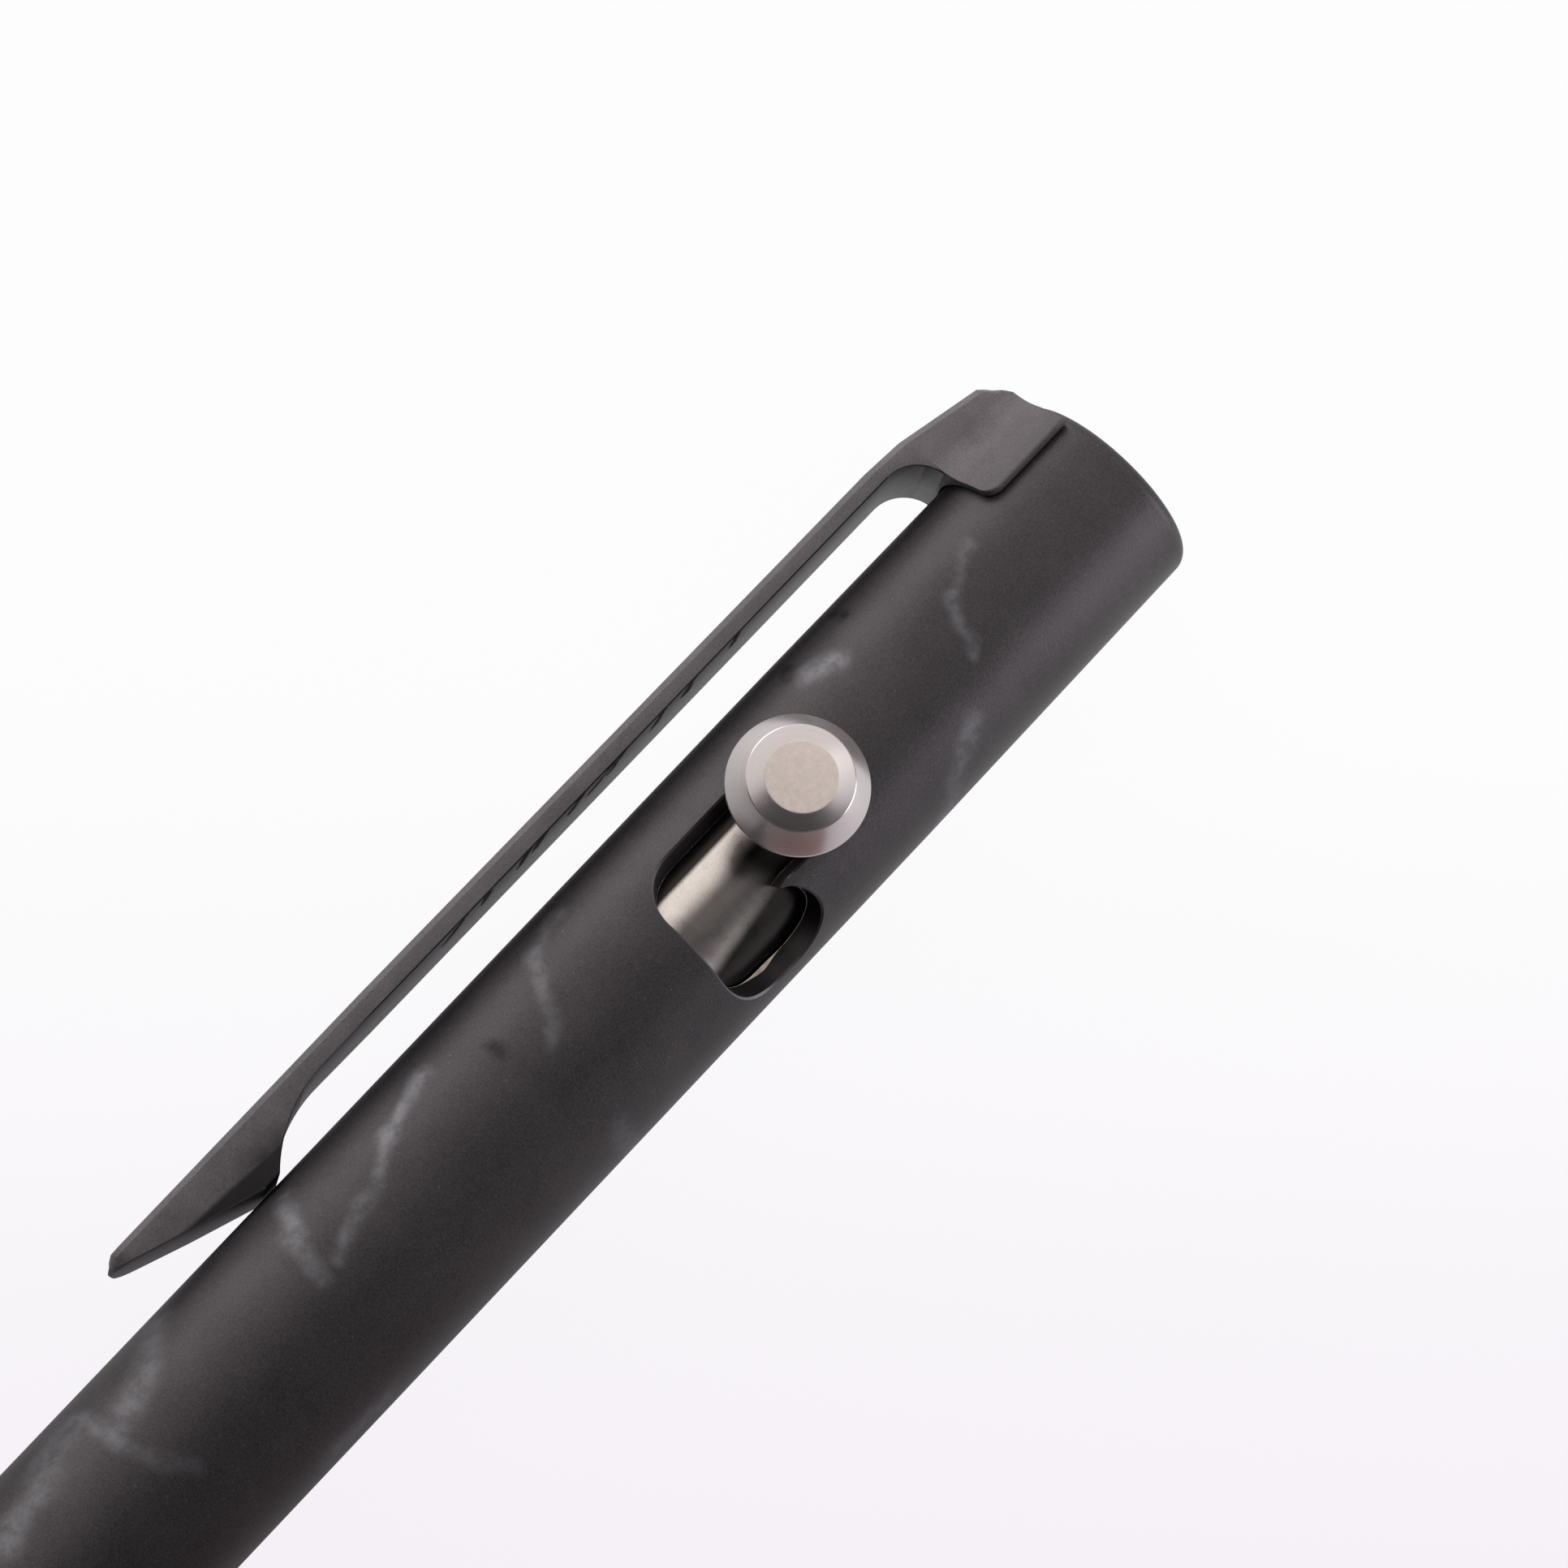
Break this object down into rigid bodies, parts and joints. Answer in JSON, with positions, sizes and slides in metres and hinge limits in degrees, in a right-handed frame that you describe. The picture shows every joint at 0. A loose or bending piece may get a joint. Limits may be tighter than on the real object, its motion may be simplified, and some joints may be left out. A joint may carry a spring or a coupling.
{
  "type": "bolt action pen",
  "caption": "Slim round pen with a bolt knob in a side slot that pushes the refill out, a long sprung pocket clip and a screw-on tapered nose.",
  "frame": {"origin": "centre of the tail plug's flat face, on the pen's axis", "axes": "+X along the pen out of its tail, so the nose points to -X; +Y towards the clip; +Z towards the bolt's knob"},
  "size_m": [0.1351, 0.0136, 0.0139],
  "materials": {
    "black_coat": "matte",
    "satin_titanium": "satin",
    "black_steel": "satin",
    "spring_steel": "satin",
    "brass": "satin",
    "refill_steel": "satin",
    "carbide": "polished",
    "seal_rubber": "matte",
    "white_plastic": "satin",
    "black_ink": "gloss",
    "clear_grease": "gloss"
  },
  "bodies": {
    "barrel": {"barrel": "black_coat", "tail_plug": "black_coat", "tail_o_ring": "seal_rubber", "clip": "black_coat", "clip_screw": "black_steel"},
    "bolt": {"slider": "satin_titanium", "bolt_knob": "satin_titanium", "bolt_stud": "black_steel", "refill_spacer": "seal_rubber", "refill_crown": "white_plastic", "refill_tube": "refill_steel", "refill_ink": "black_ink", "ink_follower": "clear_grease", "refill_point": "brass"},
    "ball": {"refill_ball": "carbide"},
    "nose_ring": {"nose_o_ring": "seal_rubber", "return_spring": "spring_steel"},
    "nose": {"nose_section": "black_coat"}
  },
  "joints": [
    {"name": "bolt_slide", "type": "slide", "parent": "barrel", "child": "bolt", "axis": [-1, 0, 0], "range_m": [0, 0.0064], "stiffness_N_per_m": 250, "springref_m": -0.005, "deforming": ["return_spring"]},
    {"name": "ball_roll", "type": "hinge", "parent": "bolt", "child": "ball", "pos_m": [-0.1328, 0, 0], "axis": [0, 1, 0], "continuous": true},
    {"name": "nose_travel", "type": "slide", "parent": "barrel", "child": "nose_ring", "axis": [-1, 0, 0], "range_m": [0, 0.006]},
    {"name": "nose_turn", "type": "hinge", "parent": "nose_ring", "child": "nose", "pos_m": [-0.0971, 0, 0], "axis": [-1, 0, 0], "range_deg": [0, 2890]}
  ],
  "couplings": [
    {"joint": "nose_turn", "follows": "nose_travel", "rad_per_m": 8377.6}
  ]
}
